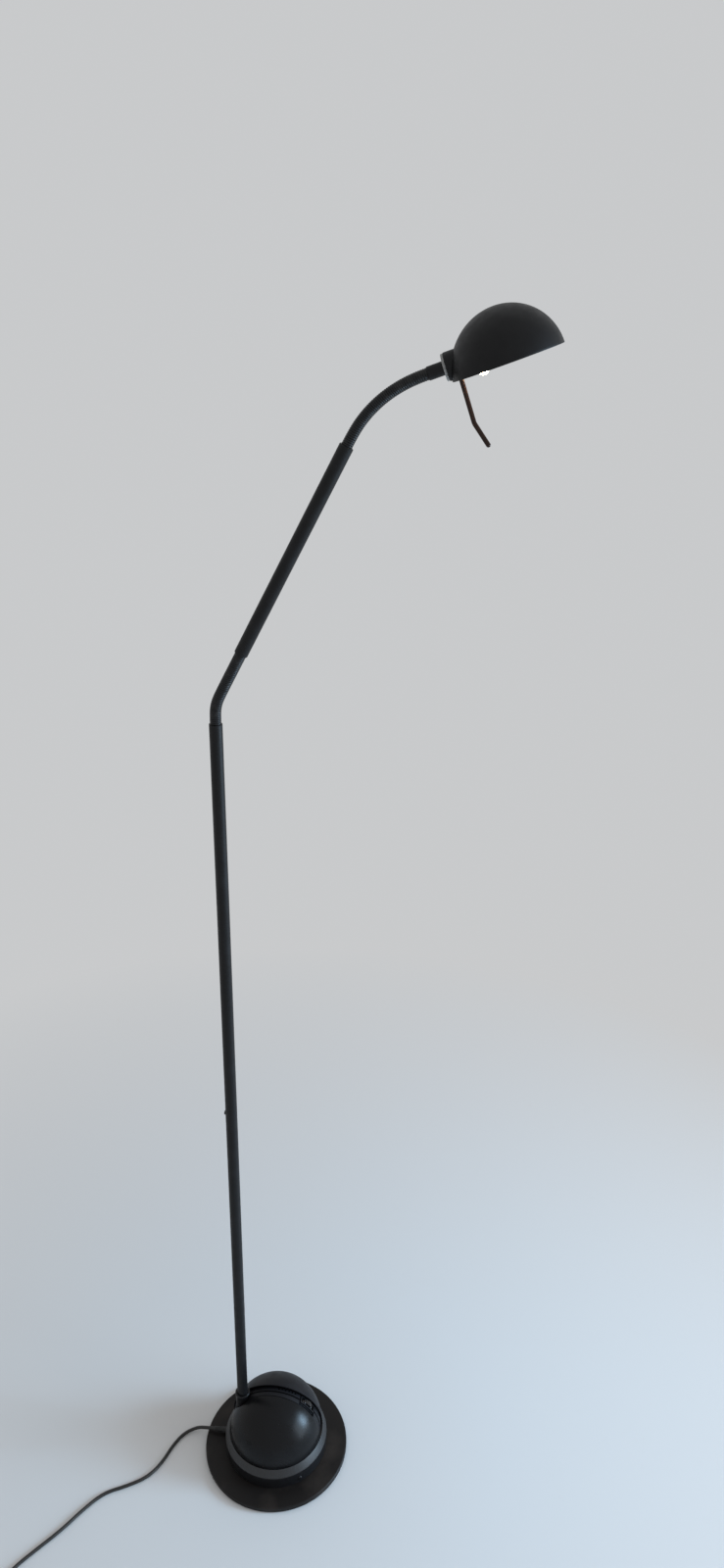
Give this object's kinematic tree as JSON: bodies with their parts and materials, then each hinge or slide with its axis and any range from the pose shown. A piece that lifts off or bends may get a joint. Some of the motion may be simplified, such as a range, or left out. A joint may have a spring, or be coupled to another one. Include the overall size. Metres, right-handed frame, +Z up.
{
  "type": "gooseneck floor lamp",
  "caption": "Reading floor lamp: weighted disc base with a ribbed dome and thumbwheel dimmer, slim pole, arm between ribbed goosenecks, small round shade with a handle rod.",
  "frame": {"origin": "centre of the disc base's underside, on the floor", "axes": "+Z up along the pole, +X from the pole towards the side that the shade reads to, +Y to the back, so that the front dome faces -Y"},
  "size_m": [0.7189, 0.4738, 1.665],
  "materials": {
    "felt": "dark felt",
    "disc_paint": "satin black powder coat",
    "housing": "satin black moulding",
    "dome_satin": "semi-gloss black moulding",
    "dome_matt": "matt charcoal moulding",
    "wheel": "fluted black thumbwheel",
    "pot": "plain steel can",
    "board": "green circuit board",
    "zinc": "zinc-plated steel",
    "screw_steel": "plated steel",
    "black_screw": "blackened steel",
    "transformer_tape": "yellow winding tape over a toroid",
    "terminal": "natural terminal strip",
    "socket": "satin black",
    "tube_paint": "satin black powder coat",
    "neck_steel": "black ribbed steel gooseneck",
    "nylon": "light grey nylon",
    "shade_paint": "satin black powder coat",
    "reflector": "bright aluminium",
    "porcelain": "unglazed white ceramic",
    "bulb_glass": "clear quartz",
    "pin_metal": "nickel-plated",
    "rod_paint": "glossy dark brown-black",
    "relief": "black rubber",
    "cord_jacket": "black flexible vinyl",
    "plug_plastic": "black moulded plug"
  },
  "bodies": {
    "stand": {"floor_pad": "felt", "base_plate": "disc_paint", "lower_housing": "housing", "side_screw": "screw_steel", "front_dome": "dome_satin", "rear_dome": "dome_matt", "vent_band": "dome_matt", "dimmer_pot": "pot", "dimmer_board": "board", "dimmer_bracket": "zinc", "dimmer_screws": "screw_steel", "transformer": "transformer_tape", "transformer_dish": "zinc", "transformer_bolt": "screw_steel", "transformer_nut": "screw_steel", "terminal_block": "terminal", "housing_screws": "screw_steel", "pole_socket": "socket", "socket_screws": "screw_steel", "pole_foot_plug": "zinc", "pole_bolt": "screw_steel", "lower_pole": "tube_paint", "upper_pole": "tube_paint", "pole_spigot": "zinc", "pole_joint_screw": "black_screw", "pole_top_bush": "zinc", "lower_neck_link_1": "neck_steel", "strain_relief": "relief", "mains_cord": "cord_jacket", "cord_coil": "cord_jacket", "plug_body": "plug_plastic", "plug_pins": "pin_metal"},
    "dimmer": {"dimmer_wheel": "wheel"},
    "lower_link_2": {"lower_neck_link_2": "neck_steel"},
    "lower_link_3": {"lower_neck_link_3": "neck_steel"},
    "lower_link_4": {"lower_neck_link_4": "neck_steel"},
    "arm": {"lower_neck_link_5": "neck_steel", "arm_lower_bush": "zinc", "arm_tube": "tube_paint", "arm_upper_bush": "zinc", "upper_neck_link_1": "neck_steel"},
    "upper_link_2": {"upper_neck_link_2": "neck_steel"},
    "upper_link_3": {"upper_neck_link_3": "neck_steel"},
    "upper_link_4": {"upper_neck_link_4": "neck_steel"},
    "upper_link_5": {"upper_neck_link_5": "neck_steel"},
    "head": {"upper_neck_link_6": "neck_steel", "neck_sleeve": "tube_paint", "head_washer": "nylon", "shade_collar": "shade_paint", "shade": "shade_paint", "shade_spacer": "zinc", "reflector": "reflector", "neck_nipple": "zinc", "nipple_nut": "zinc", "lamp_bracket": "zinc", "lamp_holder": "porcelain", "bulb_glass": "bulb_glass", "bulb_filament": "pin_metal", "handle_rod": "rod_paint"}
  },
  "joints": [
    {"name": "lower_neck_bend_1", "type": "hinge", "parent": "stand", "child": "lower_link_2", "pos_m": [-0.0522, 0, 1.224], "axis": [0, 1, 0], "range_deg": [-27, 12]},
    {"name": "lower_neck_sway_1", "type": "hinge", "parent": "lower_link_2", "child": "lower_link_3", "pos_m": [-0.05076, 0, 1.23288], "axis": [0.9711, 0, -0.2385], "range_deg": [-19, 19]},
    {"name": "lower_neck_bend_2", "type": "hinge", "parent": "lower_link_3", "child": "lower_link_4", "pos_m": [-0.04792, 0, 1.24142], "axis": [0, 1, 0], "range_deg": [-28, 12.5]},
    {"name": "lower_neck_sway_2", "type": "hinge", "parent": "lower_link_4", "child": "arm", "pos_m": [-0.03499, 0, 1.26626], "axis": [0.887, 0, -0.4617], "range_deg": [-19, 19]},
    {"name": "upper_neck_bend_1", "type": "hinge", "parent": "arm", "child": "upper_link_2", "pos_m": [0.10861, 0, 1.54212], "axis": [0, 1, 0], "range_deg": [-27, 12]},
    {"name": "upper_neck_sway_1", "type": "hinge", "parent": "upper_link_2", "child": "upper_link_3", "pos_m": [0.12051, 0, 1.5582], "axis": [0.7547, 0, -0.6561], "range_deg": [-19, 19]},
    {"name": "upper_neck_bend_2", "type": "hinge", "parent": "upper_link_3", "child": "upper_link_4", "pos_m": [0.13477, 0, 1.57222], "axis": [0, 1, 0], "range_deg": [-28, 12.5]},
    {"name": "upper_neck_sway_2", "type": "hinge", "parent": "upper_link_4", "child": "upper_link_5", "pos_m": [0.15106, 0, 1.58383], "axis": [0.5225, 0, -0.8526], "range_deg": [-19, 19]},
    {"name": "upper_neck_bend_3", "type": "hinge", "parent": "upper_link_5", "child": "head", "pos_m": [0.1688, 0, 1.59307], "axis": [0, 1, 0], "range_deg": [-28, 12.5]},
    {"name": "dimmer_turn", "type": "hinge", "parent": "stand", "child": "dimmer", "pos_m": [0.04424, 0.0044, 0.08622], "axis": [0, 1, 0], "range_deg": [-135, 135]}
  ],
  "couplings": [
    {"joint": "lower_neck_bend_2", "follows": "lower_neck_bend_1", "ratio": 1},
    {"joint": "lower_neck_sway_2", "follows": "lower_neck_sway_1", "ratio": 1},
    {"joint": "upper_neck_bend_2", "follows": "upper_neck_bend_1", "ratio": 1},
    {"joint": "upper_neck_sway_2", "follows": "upper_neck_sway_1", "ratio": 1},
    {"joint": "upper_neck_bend_3", "follows": "upper_neck_bend_1", "ratio": 1}
  ]
}
